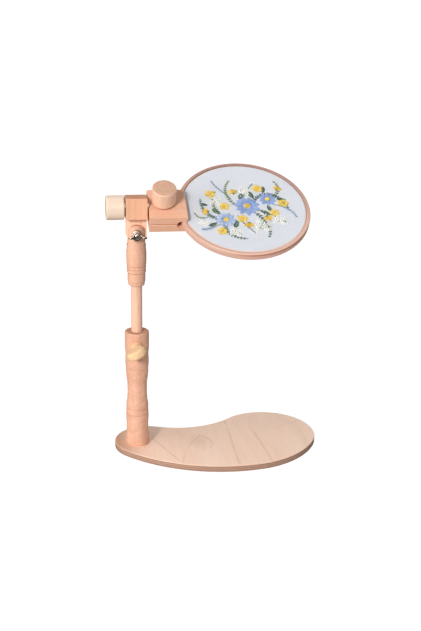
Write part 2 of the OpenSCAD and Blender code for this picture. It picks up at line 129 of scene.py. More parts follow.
def make_sky():
    """Even light for everything, while shiny surfaces mirror a bright window and a darker room."""
    world = bpy.data.worlds.new("studio")
    world.use_nodes = True
    tree = world.node_tree
    sky = tree.nodes["Background"]
    sky.inputs["Color"].default_value = (0.98, 0.99, 1, 1)
    sky.inputs["Strength"].default_value = AMBIENT
    room = tree.nodes.new("ShaderNodeBackground")
    way = tree.nodes.new("ShaderNodeTexCoord")
    window = tree.nodes.new("ShaderNodeVectorMath")
    window.operation = "DOT_PRODUCT"
    window.inputs[1].default_value = Vector((-0.55, -0.45, 0.7)).normalized()
    tree.links.new(way.outputs["Generated"], window.inputs[0])
    ramp = tree.nodes.new("ShaderNodeValToRGB")
    ramp.color_ramp.elements.new(0.5)
    greys = ((0.12, 0.03), (0.42, 0.3), (0.7, 1.7))
    for element, (at, grey) in zip(ramp.color_ramp.elements, greys):
        element.position, element.color = at, (grey, grey, 0.94 * grey, 1)
    tree.links.new(window.outputs["Value"], ramp.inputs["Fac"])
    tree.links.new(ramp.outputs["Color"], room.inputs["Color"])
    ray = tree.nodes.new("ShaderNodeLightPath")
    white = tree.nodes.new("ShaderNodeBackground")
    shown = sky
    for kind, light in (("Is Glossy Ray", room), ("Is Camera Ray", white)):
        both = tree.nodes.new("ShaderNodeMixShader")
        tree.links.new(ray.outputs[kind], both.inputs["Fac"])
        tree.links.new(shown.outputs[0], both.inputs[1])
        tree.links.new(light.outputs[0], both.inputs[2])
        shown = both
    white.inputs["Color"].default_value = (1, 1, 1, 1)
    tree.links.new(shown.outputs[0], tree.nodes["World Output"].inputs["Surface"])
    return world


def make_studio():
    """A white room with soft light from the front left."""
    scene = bpy.context.scene
    scene.view_settings.view_transform = "Standard"
    scene.world = make_sky()
    make_sun("key", (-0.47, -0.78, 0.40), KEY, 12, (1, 0.99, 0.98), True)
    make_sun("side_key", (-0.9, -0.35, 0.2), SIDE_KEY, 40, (1, 0.99, 0.98), True)
    make_sun("front_fill", (0.1, -1, 0.12), FRONT_FILL, 60)
    make_sun("right_fill", (0.95, -0.15, 0.08), RIGHT_FILL, 50, (0.85, 0.98, 1))
    make_sun("back_fill", (0.2, 0.7, 0.7), BACK_FILL, 50)
    make_sun("bounce", (-0.3, -0.7, -0.6), BOUNCE, 50)
    mesh = bpy.data.meshes.new("floor")
    far = 200
    corners = [(-far, -far, 0), (far, -far, 0), (far, far, 0), (-far, far, 0)]
    mesh.from_pydata(corners, [], [(0, 1, 2, 3)])
    floor = bpy.data.objects.new("floor", mesh)
    scene.collection.objects.link(floor)
    paint = Paint("floor_paint", rough=0.9)
    paint.colour(paint.ramp(paint.noise((3, 3, 3), detail=2), [(0, 0.11), (1, 0.13)]))
    paint.shader.inputs["Emission Color"].default_value = (1, 1, 1, 1)
    paint.shader.inputs["Emission Strength"].default_value = FLOOR_GLOW
    mesh.materials.append(paint.material)
    floor.visible_diffuse = floor.visible_glossy = floor.visible_shadow = False


# Materials


class Paint:
    """A node material that is built up step by step.

    Places are in metres in the frame's axes, or in the axes of the matrix turn where that is given.
    """

    def __init__(self, name, turn=None, rough=0.5, metallic=0.0, uv=False):
        self.material = bpy.data.materials.new(name)
        self.material.use_nodes = True
        self.tree = self.material.node_tree
        self.shader = self.tree.nodes["Principled BSDF"]
        self.shader.inputs["Roughness"].default_value = rough
        self.shader.inputs["Metallic"].default_value = metallic
        source = self.add("ShaderNodeTexCoord")
        self.place = source.outputs["UV" if uv else "Object"]
        if turn is not None:
            back = turn.inverted()
            moved = self.add("ShaderNodeMapping")
            moved.inputs["Location"].default_value = back.to_translation()
            moved.inputs["Rotation"].default_value = back.to_euler("XYZ")
            self.join(self.place, moved.inputs["Vector"])
            self.place = moved.outputs["Vector"]

    def add(self, kind, **settings):
        made = self.tree.nodes.new(kind)
        for key, value in settings.items():
            setattr(made, key, value)
        return made

    def join(self, out, into):
        self.tree.links.new(out, into)

    def put(self, value, into):
        """Sets an input to a number, a vector or another node's output."""
        if isinstance(value, bpy.types.NodeSocket):
            self.join(value, into)
        else:
            into.default_value = value

    def math(self, operation, a, b=0.0, c=0.0):
        made = self.add("ShaderNodeMath", operation=operation)
        for value, into in zip((a, b, c), made.inputs):
            self.put(value, into)
        return made.outputs[0]

    def product(self, *factors):
        made = factors[0]
        for factor in factors[1:]:
            made = self.math("MULTIPLY", made, factor)
        return made

    def length(self, x, y):
        """The length of a step of x one way and y across it."""
        squares = self.math("ADD", self.product(x, x), self.product(y, y))
        return self.math("SQRT", squares)

    def apart(self, a, b):
        """How far two numbers are apart."""
        return self.math("ABSOLUTE", self.math("SUBTRACT", a, b))

    def scaled(self, scale, place=None):
        made = self.add("ShaderNodeVectorMath", operation="MULTIPLY")
        self.join(self.place if place is None else place, made.inputs[0])
        made.inputs[1].default_value = scale
        return made.outputs[0]

    def noise(self, scale, detail=3, rough=0.5, place=None, seed=0.0):
        made = self.add("ShaderNodeTexNoise", noise_dimensions="4D")
        self.join(self.scaled(scale, place), made.inputs["Vector"])
        made.inputs["W"].default_value = seed
        made.inputs["Scale"].default_value = 1
        made.inputs["Detail"].default_value = detail
        made.inputs["Roughness"].default_value = rough
        return made.outputs["Fac"]

    def parts(self, place=None):
        made = self.add("ShaderNodeSeparateXYZ")
        self.join(self.place if place is None else place, made.inputs[0])
        return made.outputs

    def joined(self, x, y, z):
        made = self.add("ShaderNodeCombineXYZ")
        for value, into in zip((x, y, z), made.inputs):
            self.put(value, into)
        return made.outputs[0]

    def ramp(self, factor, stops):
        """Colours or greys along a factor from 0 to 1."""
        made = self.add("ShaderNodeValToRGB")
        self.join(factor, made.inputs["Fac"])
        elements = made.color_ramp.elements
        while len(elements) < len(stops):
            elements.new(0.5)
        for element, (at, value) in zip(elements, stops):
            tone = (value, value, value) if isinstance(value, (int, float)) else value
            element.position = at
            element.color = (*tone, 1)
        return made.outputs["Color"]

    def mix(self, factor, a, b, blend="MIX"):
        made = self.add("ShaderNodeMix", data_type="RGBA", blend_type=blend)
        self.put(factor, made.inputs["Factor"])
        for value, into in ((a, made.inputs["A"]), (b, made.inputs["B"])):
            self.put((*value, 1) if isinstance(value, tuple) else value, into)
        return made.outputs["Result"]

    def tinted(self, base, by):
        """A colour multiplied by another."""
        return self.mix(1.0, base, by, "MULTIPLY")

    def colour(self, value):
        self.join(value, self.shader.inputs["Base Color"])

    def rough(self, value):
        self.join(value, self.shader.inputs["Roughness"])

    def bump(self, height, distance, strength=1.0):
        made = self.add("ShaderNodeBump")
        made.inputs["Distance"].default_value = distance
        made.inputs["Strength"].default_value = strength
        self.join(height, made.inputs["Height"])
        before = self.shader.inputs["Normal"]
        if before.is_linked:
            self.join(before.links[0].from_socket, made.inputs["Normal"])
        self.join(made.outputs["Normal"], before)


def rgb(red, green, blue):
    """A screen colour from 0 to 255 as linear light."""
    return tuple(((c / 255 + 0.055) / 1.055) ** 2.4 for c in (red, green, blue))


BEECH = (rgb(233, 184, 157), rgb(207, 153, 126), rgb(165, 110, 85))
HEAD_BEECH = (rgb(239, 183, 149), rgb(213, 153, 120), rgb(168, 109, 81))
JAW_BEECH = (rgb(240, 188, 158), rgb(214, 157, 128), rgb(168, 109, 84))
DOWEL_BEECH = (rgb(238, 194, 167), rgb(214, 164, 138), rgb(172, 120, 96))
KNOB_BEECH = (rgb(240, 198, 170), rgb(216, 168, 140), rgb(168, 118, 94))
PALE_BEECH = (rgb(245, 223, 202), rgb(232, 202, 177), rgb(196, 154, 126))
MAPLE = (rgb(250, 210, 168), rgb(236, 190, 140), rgb(198, 142, 96))
HOOP_WOOD = (rgb(223, 188, 171), rgb(199, 153, 135), rgb(142, 92, 74))

# Year rings in each metre of solid wood
RINGS = 330


def wood(name, tones, turn, pith, seed, end=0.78, marks=(), figure=0.0, painted_light_under=None):
    """Solid wood whose grain runs along Z of the frame that turn gives.

    tones are the pale, the darker and the fleck colour, and pith is where the tree's middle lies.
    end is how light the end grain is. marks are heights along Z where a tool has burnished a dark
    line. figure is how strongly the turned surface is mottled. Below the height
    painted_light_under,
    the colour is painted lighter: painted light in the shade under an overhanging part.
    """
    pale, dark, fleck = tones
    paint = Paint(name, turn=turn)
    paint.shader.inputs["Specular IOR Level"].default_value = 0.3
    x, y, z = paint.parts()
    sway = paint.noise((9, 9, 3), detail=2, seed=seed)
    from_pith = paint.length(paint.math("ADD", x, -pith[0]), paint.math("ADD", y, -pith[1]))
    wavy = paint.math("ADD", paint.product(from_pith, RINGS), paint.product(sway, 7.0))
    ring = paint.math("FRACT", wavy)
    ring_tone = paint.ramp(ring, [(0, 0.0), (0.55, 0.18), (0.86, 0.75), (0.95, 1.0), (1, 0.0)])
    fibre = paint.noise((1500, 1500, 45), detail=4, rough=0.6, seed=seed + 1)
    streak = paint.noise((170, 170, 7), detail=3, seed=seed + 2)
    flecks = paint.noise((2400, 2400, 420), detail=1, seed=seed + 3)
    flecks = paint.ramp(flecks, [(0.6, 0.0), (0.7, 1.0)])
    tone = paint.ramp(streak, [(0.3, 0.0), (0.7, 1.0)])
    base = paint.mix(tone, pale, tuple(0.62 * p + 0.38 * d for p, d in zip(pale, dark)))
    base = paint.mix(paint.product(ring_tone, 0.34), base, dark)
    base = paint.mix(paint.ramp(fibre, [(0.35, 0.0), (0.75, 0.30)]), base, dark)
    base = paint.mix(paint.product(flecks, 0.42), base, fleck)
    cloud = paint.noise((22, 22, 9), detail=2, seed=seed + 4)
    base = paint.tinted(base, paint.ramp(cloud, [(0.25, 0.93), (0.75, 1.04)]))
    if figure:
        mottled = paint.noise((110, 110, 150), detail=4, rough=0.7, seed=seed + 6)
        base = paint.mix(paint.ramp(mottled, [(0.4, figure), (0.62, 0.0)]), base, dark)
    # Painted light: below that height the colour is lightened against the shade that an overhanging
    # part casts
    if painted_light_under:
        low = paint.math("LESS_THAN", z, painted_light_under)
        base = paint.mix(low, base, paint.tinted(base, (1.2, 1.38, 1.52)))
    # End grain: where the surface looks along the grain, it is darker and freckled
    facing = paint.add("ShaderNodeNewGeometry").outputs["Normal"]
    if turn is not None:
        turned = paint.add("ShaderNodeVectorRotate", rotation_type="EULER_XYZ", invert=True)
        turned.inputs["Rotation"].default_value = turn.to_euler("XYZ")
        paint.join(facing, turned.inputs["Vector"])
        facing = turned.outputs["Vector"]
    along = paint.math("ABSOLUTE", paint.parts(facing)[2])
    is_end = paint.ramp(along, [(0.72, 0.0), (0.95, 1.0)])
    deep = tuple(end * c for c in (0.84, 0.78, 0.75))
    high = tuple(end * c for c in (1.1, 1.06, 1.04))
    freckles = paint.noise((420, 420, 420), detail=4, rough=0.65, seed=seed + 5)
    shade = paint.ramp(freckles, [(0.3, deep), (0.7, high)])
    base = paint.mix(is_end, base, paint.tinted(base, shade))
    half_mark = 0.35 * MM
    for height in marks:
        burnished = paint.math("LESS_THAN", paint.apart(z, height), half_mark)
        base = paint.mix(paint.product(burnished, 0.45), base, fleck)
    paint.colour(base)
    paint.rough(paint.mix(is_end, paint.ramp(fibre, [(0.2, 0.42), (0.8, 0.6)]), (0.8, 0.8, 0.8)))
    paint.bump(fibre, 0.00006, 0.6)
    paint.bump(flecks, 0.00003, 0.4)
    return paint.material


def finish_cad(name, material):
    """Gives a CAD node its finish."""
    mesh = nodes[name].data
    mesh.materials.clear()
    mesh.materials.append(material)


def metal(name, tone, worn, rough):
    """Metal with cloudy wear and fine scratches."""
    paint = Paint(name, rough=rough, metallic=1.0)
    cloudy = paint.noise((260, 260, 260), detail=4)
    paint.colour(paint.ramp(cloudy, [(0.3, worn), (0.65, tone)]))
    paint.rough(paint.ramp(cloudy, [(0.25, rough * 1.5), (0.75, rough * 0.8)]))
    paint.bump(paint.noise((900, 900, 900), detail=5), 0.00003, 0.5)
    return paint.material


def ring_wood(name, seed, front_light_and_line=False):
    """Bent wood whose grain runs round the hoop.

    With front_light_and_line, its outer wall is painted lighter near the front, as painted light,
    and shows a red-brown line near the top of the wall there.
    """
    pale, dark, fleck = HOOP_WOOD
    paint = Paint(name, turn=HOOP)
    x, y, z = paint.parts()
    angle = paint.math("ARCTAN2", y, x)
    radius = paint.length(x, y)
    along = paint.product(angle, HOOP_R)
    # The seam of the bent strip lies where the angle wraps, inside the jaws
    place = paint.joined(along, radius, z)
    fibre = paint.noise((45, 1500, 1500), detail=4, rough=0.6, place=place, seed=seed)
    streak = paint.noise((5, 330, 330), detail=3, place=place, seed=seed + 1)
    flecks = paint.noise((420, 2400, 2400), detail=1, place=place, seed=seed + 2)
    flecks = paint.ramp(flecks, [(0.6, 0.0), (0.7, 1.0)])
    base = paint.mix(paint.ramp(streak, [(0.36, 0.0), (0.64, 1.0)]), pale, dark)
    base = paint.mix(paint.ramp(fibre, [(0.35, 0.0), (0.75, 0.35)]), base, dark)
    base = paint.mix(paint.product(flecks, 0.45), base, fleck)
    # Painted shade: the wood is darker and greyer towards the back of the hoop, and darker still at
    # the back where the two hoops meet
    off = paint.apart(radius, CLOTH_R)
    far = paint.math("ADD", y, paint.product(x, 0.3))
    far = paint.math("MULTIPLY_ADD", far, 0.47 / HOOP_R, 0.5)
    far = paint.ramp(far, [(0.45, 0.0), (0.8, 1.0)])
    meet_shade = paint.ramp(paint.product(off, 500), [(0.1, 0.5), (0.75, 0.0)])
    base = paint.mix(paint.product(meet_shade, far), base, tuple(0.45 * c for c in dark))
    base = paint.mix(far, base, paint.tinted(base, (0.73, 0.74, 0.79)))
    if front_light_and_line:
        wall_depth, layer_z = 0.9 * MM, 2.8 * MM
        wall = paint.math("GREATER_THAN", radius, HOOP_R - wall_depth)
        # Painted light: the outer wall is lightened near the front right; there, a red-brown line
        # runs round the wall near its top
        painted_light_front = paint.math("MULTIPLY_ADD", paint.math("SUBTRACT", x, y), 0.35 / HOOP_R, 0.5)
        painted_light_front = paint.product(paint.ramp(painted_light_front, [(0.6, 0.0), (0.85, 1.0)]), wall)
        base = paint.mix(painted_light_front, base, paint.tinted(base, (1.22, 1.24, 1.26)))
        layer = paint.product(paint.apart(z, layer_z), 500)
        layer = paint.ramp(layer, [(0.4, 0.75), (1, 0.0)])
        base = paint.mix(paint.product(layer, painted_light_front), base, rgb(172, 92, 60))
    paint.colour(base)
    paint.shader.inputs["Specular IOR Level"].default_value = 0.3
    paint.rough(paint.ramp(fibre, [(0.2, 0.45), (0.8, 0.62)]))
    paint.bump(fibre, 0.00006, 0.6)
    return paint.material


# The lines that the board's veneer shows, each as x = a + by + cyy between two values of y
VEINS = (
    (0.024, -0.40, 0, -0.060, 0.010),
    (0.0785, 0.657, 4.04, -0.066, 0.010),
    (0.0935, -0.593, -20.7, -0.030, 0.010),
    (0.1252, 0.026, 0, -0.080, 0.050),
    (0.1611, -0.0757, 0, -0.078, 0.015),
    (0.150, 2.0, 0, 0.018, 0.040))
PLY_LAYERS = 7


def plywood():
    """Plywood: rotary-cut veneer on both faces, grain front to back, and layers along the edge."""
    pale, mid, line = rgb(255, 224, 203), rgb(251, 214, 190), rgb(210, 172, 146)
    paint = Paint("plywood_finish")
    paint.shader.inputs["Specular IOR Level"].default_value = 0.3
    x, y, z = paint.parts()
    # Broad arches of the rotary cut, drawn as contour lines of a slow hill
    hill = paint.noise((14, 4.2, 14), detail=1.5, rough=0.4, seed=4.3)
    contour = paint.math("FRACT", paint.product(hill, 9.0))
    arch = paint.ramp(contour, [(0, 0.0), (0.5, 0.1), (0.9, 0.55), (0.965, 1.0), (1, 0.0)])
    fibre = paint.noise((900, 26, 900), detail=4, rough=0.6, seed=1)
    shade = paint.noise((30, 6, 30), detail=3, seed=2)
    pores = paint.noise((2600, 240, 2600), detail=1, seed=3)
    pores = paint.ramp(pores, [(0.6, 0.0), (0.72, 1.0)])
    base = paint.mix(paint.ramp(shade, [(0.3, 0.0), (0.7, 1.0)]), pale, mid)
    base = paint.mix(paint.product(arch, 0.12), base, line)
    veins = 0.0
    for a, b, c, low, high in VEINS:
        curve = paint.math("MULTIPLY_ADD", y, paint.math("MULTIPLY_ADD", y, c, b), a)
        off = paint.product(paint.apart(x, curve), 400)
        above, below = paint.math("GREATER_THAN", y, low), paint.math("LESS_THAN", y, high)
        vein = paint.product(paint.ramp(off, [(0, 1.0), (1, 0.0)]), above, below)
        veins = paint.math("MAXIMUM", vein, veins)
    uneven = paint.ramp(paint.noise((90, 40, 90), detail=2, seed=9), [(0.35, 0.1), (0.65, 0.6)])
    base = paint.mix(paint.product(veins, uneven), base, line)
    # A darker smudge round the place (0.082, -0.0083)
    smudge = paint.length(paint.math("ADD", x, -0.082), paint.math("MULTIPLY_ADD", y, 0.6, 0.005))
    smudge = paint.ramp(paint.product(smudge, 60), [(0.1, 0.35), (1, 0.0)])
    base = paint.mix(smudge, base, line)
    base = paint.mix(paint.ramp(fibre, [(0.4, 0.0), (0.8, 0.28)]), base, line)
    base = paint.mix(paint.product(pores, 0.22), base, line)
    # Edge layers: one grain along, the next across and darker
    level = paint.product(z, PLY_LAYERS / BASE_TOP)
    odd = paint.math("GREATER_THAN", paint.math("FRACT", paint.product(level, 0.5)), 0.5)
    glue = paint.math("GREATER_THAN", paint.apart(paint.math("FRACT", level), 0.5), 0.44)
    grain = paint.noise((260, 260, 2600), detail=4, seed=7)
    along_layer = paint.ramp(grain, [(0.3, rgb(169, 132, 111)), (0.7, rgb(192, 157, 135))])
    across_layer = paint.ramp(grain, [(0.3, rgb(138, 99, 82)), (0.7, rgb(167, 128, 108))])
    edge = paint.mix(odd, along_layer, across_layer)
    edge = paint.mix(paint.product(glue, 0.4), edge, rgb(128, 92, 76))
    # The top layer's edge is painted paler: partly the pale face veneer, partly a painted highlight
    # along the rounded top edge
    top_layer_and_highlight = paint.math("GREATER_THAN", level, PLY_LAYERS - 0.8)
    edge = paint.mix(top_layer_and_highlight, edge, rgb(218, 182, 157))
    # The board is browner from the column's middle towards its left end
    browner = paint.ramp(paint.math("MULTIPLY_ADD", x, 20.0, 0.8), [(0.3, 1.0), (0.85, 0.0)])
    base = paint.mix(paint.product(browner, 0.9), base, rgb(192, 146, 114))
    facing = paint.add("ShaderNodeNewGeometry").outputs["Normal"]
    is_face = paint.ramp(paint.math("ABSOLUTE", paint.parts(facing)[2]), [(0.62, 0.0), (0.82, 1.0)])
    paint.colour(paint.mix(is_face, edge, base))
    paint.rough(paint.ramp(fibre, [(0.2, 0.4), (0.8, 0.55)]))
    paint.bump(fibre, 0.00005, 0.5)
    return paint.material


def cloth_finish():
    """Plain-weave cotton, a bluish white, with slubs."""
    paint = Paint("cotton", turn=HOOP, rough=0.85)
    paint.shader.inputs["Sheen Weight"].default_value = 0.25
    paint.shader.inputs["Sheen Roughness"].default_value = 0.5
    x, y, _ = paint.parts()
    pitch = 0.55 * MM

    def threads(across, other):
        """The height of the threads of one way, which pass over and under the others."""
        wave = paint.math("SINE", paint.product(across, 2 * math.pi / pitch))
        over = paint.math("SINE", paint.product(other, math.pi / pitch))
        return paint.product(paint.math("ADD", wave, 1.0), paint.math("ADD", over, 1.6))

    weave = paint.math("MAXIMUM", threads(x, y), threads(y, x))
    weft = paint.noise((1600, 60, 1), detail=2, seed=1)
    warp = paint.noise((60, 1600, 1), detail=2, seed=2)
    slub = paint.math("MAXIMUM", weft, warp)
    shade = paint.ramp(slub, [(0.45, rgb(218, 220, 228)), (0.7, rgb(226, 228, 236))])
    # Where the cloth bends down at the rim it is painted lighter and pinker: the wood's colour
    # showing through, and a painted highlight along the fold
    fold_highlight = paint.math("SUBTRACT", paint.length(x, y), CLOTH_R - 3 * MM)
    fold_highlight = paint.ramp(paint.product(fold_highlight, 333), [(0.2, 0.0), (0.8, 1.0)])
    shade = paint.mix(fold_highlight, shade, rgb(238, 214, 204))
    pores = paint.ramp(paint.product(weave, 0.2), [(0.0, 0.86), (0.45, 1.0)])
    paint.colour(paint.tinted(shade, pores))
    paint.bump(weave, 0.00006, 0.5)
    return paint.material


# Pieces made here


def link(name, mesh, material, body, sharp=35):
    """Makes an object of a mesh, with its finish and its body.

    Edges that bend by more than sharp degrees stay sharp.
    """
    for face in mesh.polygons:
        face.use_smooth = True
    if sharp:
        mesh.set_sharp_from_angle(angle=math.radians(sharp))
    mesh.materials.clear()
    mesh.materials.append(material)
    piece = bpy.data.objects.new(name, mesh)
    bpy.context.scene.collection.objects.link(piece)
    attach(piece, body)
    return piece


def make_base():
    """The plywood board, with the edges along its outline rounded."""
    column_r, easing = half_across("lower_column"), 1.3 * MM

    def at_rim(edge):
        if len(edge.link_faces) != 2 or edge.calc_face_angle() <= math.radians(30):
            return False
        a, b = (corner.co for corner in edge.verts)
        return abs(a.z - b.z) < 1e-6 and ((a + b) / 2).xy.length > column_r

    work = bmesh.new()
    work.from_mesh(nodes["base_plate"].data)
    bmesh.ops.remove_doubles(work, verts=work.verts, dist=1e-6)
    bmesh.ops.dissolve_limit(
        work, angle_limit=math.radians(0.5), verts=work.verts, edges=work.edges)
    work.normal_update()
    rim = [edge for edge in work.edges if at_rim(edge)]
    bmesh.ops.bevel(work, geom=rim, offset=easing, segments=4, profile=0.5, affect="EDGES",
                    clamp_overlap=True)
    mesh = bpy.data.meshes.new("base_plate_soft")
    work.to_mesh(mesh)
    work.free()
    board = link("base_board", mesh, plywood(), "stand")
    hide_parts("base_plate")


def turns(count):
    """Angles once all the way round, in equal steps."""
    return [2 * math.pi * k / count for k in range(count)]


def sheet_line():
    """Radius and height along the cloth's middle line: out, round the rim and down."""
    bend, end_gap = 1.2 * MM, 0.6 * MM
    edge, top = CLOTH_R - CAD_CLOTH_HALF, HOOP_DEPTH / 2 - CLOTH_DROP - CAD_CLOTH_HALF
    flat, low = edge - bend, top - bend
    line = [(flat * math.sqrt(i / 46), top) for i in range(1, 47)]
    for i in range(1, 6):
        a = math.radians(18 * i)
        line.append((flat + bend * math.sin(a), low + bend * math.cos(a)))
    down = end_gap - HOOP_DEPTH / 2
    line += [(edge, low + (down - low) * i / 6) for i in range(1, 7)]
    return line


def make_cloth():
    """The stretched cloth, from its middle to its end between the two hoops."""
    spokes = 220
    line = sheet_line()
    points = [(0, 0, line[0][1])]
    points += [(r * math.cos(a), r * math.sin(a), z) for r, z in line for a in turns(spokes)]
    faces = [(0, 1 + k, 1 + (k + 1) % spokes) for k in range(spokes)]
    for i in range(len(line) - 1):
        for k in range(spokes):
            a, b = 1 + i * spokes + k, 1 + i * spokes + (k + 1) % spokes
            faces.append((a, a + spokes, b + spokes, b))
    mesh = bpy.data.meshes.new("cloth_sheet")
    mesh.from_pydata([HOOP @ Vector(p) for p in points], [], faces)
    run = line[0][0]
    for (r0, z0), (r1, z1) in zip(line, line[1:]):
        run += math.hypot(r1 - r0, z1 - z0)
    cloth = link("cloth_sheet", mesh, cloth_finish(), "hoop", sharp=None)
    thick = cloth.modifiers.new("thickness", "SOLIDIFY")
    thick.thickness, thick.offset = CLOTH_THICK, 0
    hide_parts("fabric")


def cast(node, name, voxel, material, body):
    """A CAD node's shape with every edge rounded, as a cast or carved piece has."""
    piece = link(name, nodes[node].data.copy(), material, body, sharp=None)
    remesh = piece.modifiers.new("remesh", "REMESH")
    remesh.mode, remesh.voxel_size, remesh.use_smooth_shade = "VOXEL", voxel, True
    smooth = piece.modifiers.new("smooth", "SMOOTH")
    smooth.factor, smooth.iterations = 0.5, 6
    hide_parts(node)


def grid_faces(rings, sides, first=0):
    """Quads between rings of points that follow one another in a list."""
    faces = []
    for i in range(rings - 1):
        for k in range(sides):
            a, b = first + i * sides + k, first + i * sides + (k + 1) % sides
            faces.append((a, b, b + sides, a + sides))
    return faces


def tube_faces(rings, sides, first=0):
    """A closed tube: quads between its rings, and a face on each end."""
    last = first + (rings - 1) * sides
    ends = [tuple(range(first, first + sides)), tuple(reversed(range(last, last + sides)))]
    return grid_faces(rings, sides, first) + ends


def make_elbow_bolt(steel):
    """The carriage bolt, with a real helical thread on the end that shows through the wing nut."""
    bolt_r, pitch, depth, sides = 3.0 * MM, 1.0 * MM, 0.55 * MM, 48
    low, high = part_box("elbow_bolt")
    head_r, head_h, neck = half_across("elbow_bolt"), 3.3 * MM, 3.06 * MM
    seat, tip, thread_run = high.y - head_h, low.y, 9 * MM
    dome = [math.radians(5 + 12.14 * i) for i in range(8)]
    profile = [(head_r * math.sin(a), seat + head_h * math.cos(a)) for a in dome]
    profile += [(bolt_r, seat - 0.2 * MM), (bolt_r, tip + thread_run + 0.5 * MM)]
    points = [(r * math.cos(t), y, r * math.sin(t)) for r, y in profile for t in turns(sides)]
    # The groove follows a zigzag along the helix, and its crests grow lower towards the tip
    rows = int(thread_run / pitch * 8)
    for i in range(rows + 1):
        run = thread_run * i / rows
        fade = min(1, (thread_run - run) / (0.8 * MM))
        for k, t in enumerate(turns(sides)):
            wave = abs(((run / pitch + k / sides) % 1) * 2 - 1)
            groove = depth * min(1, max(0, 1.25 * wave - 0.12))
            r = bolt_r - groove - (1 - fade) * 0.5 * MM * (1 - wave)
            points.append((r * math.cos(t), tip + thread_run - run, r * math.sin(t)))
    faces = tube_faces(len(points) // sides, sides)
    # The square neck under the head
    first = len(points)
    for y in (seat, seat - 3 * MM):
        points += [(-neck, y, -neck), (neck, y, -neck), (neck, y, neck), (-neck, y, neck)]
    faces += grid_faces(2, 4, first)
    middle_z = (low.z + high.z) / 2
    mesh = bpy.data.meshes.new("threaded_bolt")
    mesh.from_pydata([(x, y, z + middle_z) for x, y, z in points], [], faces)
    bolt = link("threaded_bolt", mesh, steel, "handle")
    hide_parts("elbow_bolt")


def finish_wood():
    """Gives each wooden piece its own wood, with the grain the way that its length runs."""
    quarter = Matrix.Rotation(math.radians(90), 4, "Y")
    across = Matrix.Translation((0, 0, ARM.z)) @ quarter
    head_across = HEAD @ quarter
    knob_at = Vector(joints["clamp_knob_turn"]["pos_m"])
    knob_axis = Matrix.Translation(knob_at) @ Matrix.Rotation(TILT, 4, "X")
    thumb_turn = Vector(joints["thumb_screw_turn"]["axis"]).to_track_quat("Z", "Y")
    thumb_axis = Matrix.Translation((0, 0, THUMB_Z)) @ thumb_turn.to_matrix().to_4x4()
    column = {"marks": [BASE_TOP + h * MM for h in (43, 50.8)], "figure": 0.75}
    handle = {"marks": [HANDLE_LOW + h * MM for h in (16.3, 21.5, 25.3)], "figure": 0.3}
    # Painted light on the tongue below the head block, where the block's overhang shades it
    block = {"painted_light_under": ARM.z - BLOCK_HALF}
    for node, name, tones, turn, pith, seed, more in (
            ("lower_column", "column_beech", BEECH, None, (0.05, 0.02), 11, column),
            ("dowel_rod", "dowel_beech", DOWEL_BEECH, None, (-0.03, 0.05), 12, {}),
            ("upper_handle", "handle_beech", BEECH, None, (0.02, 0.06), 13, handle),
            ("head_block", "block_beech", HEAD_BEECH, None, (0.01, -0.07), 14, block),
            ("upper_jaw", "upper_jaw_beech", JAW_BEECH, head_across, (0.05, 0.01), 15, {}),
            ("lower_jaw", "lower_jaw_beech", JAW_BEECH, head_across, (0.07, -0.02), 16, {}),
            ("swivel_knob", "knob_pale_beech", PALE_BEECH, across, (0.01, 0.04), 17, {}),
            ("clamp_knob", "knob_beech", KNOB_BEECH, knob_axis, (0.004, 0.02), 18, {"end": 0.84})):
        finish_cad(node, wood(name, tones, turn, pith, seed, **more))
    maple = wood("thumb_maple", MAPLE, thumb_axis, (0.02, 0.02), 19, end=0.95)
    cast("thumb_screw", "carved_thumb_screw", 0.35 * MM, maple, "thumb")
    finish_cad("outer_hoop", ring_wood("outer_hoop_beech", 20, front_light_and_line=True))
    finish_cad("inner_hoop", ring_wood("inner_hoop_beech", 30))


def finish_metal():
    """Gives the screws, washers, nut and inserts their metal."""
    steel = metal("zinc_steel", (0.80, 0.73, 0.66), (0.46, 0.38, 0.33), 0.17)
    brass = metal("turned_brass", (0.78, 0.58, 0.27), (0.55, 0.4, 0.18), 0.32)
    for name in ("base_screws", "elbow_washer", "swivel_washer", "swivel_screw", "jaw_washer",
                 "clamp_bolt", "clamp_washer"):
        finish_cad(name, steel)
    make_elbow_bolt(steel)
    cast("wing_nut", "cast_wing_nut", 0.28 * MM, steel, "elbow_nut")
    for name in ("swivel_insert", "jaw_insert", "clamp_insert"):
        finish_cad(name, brass)


# Embroidery, in millimetres in the hoop's own frame

# The height of the cloth's upper side
CLOTH_TOP = (HOOP_DEPTH / 2 - CLOTH_DROP - CAD_CLOTH_HALF + CLOTH_THICK / 2) / MM
STITCH_WIDTH = 0.72
LEAF_WIDTH = 0.62
FINE_WIDTH = 0.5
# How deep a stitch's ends lie below the cloth's upper side
BELOW = 0.3


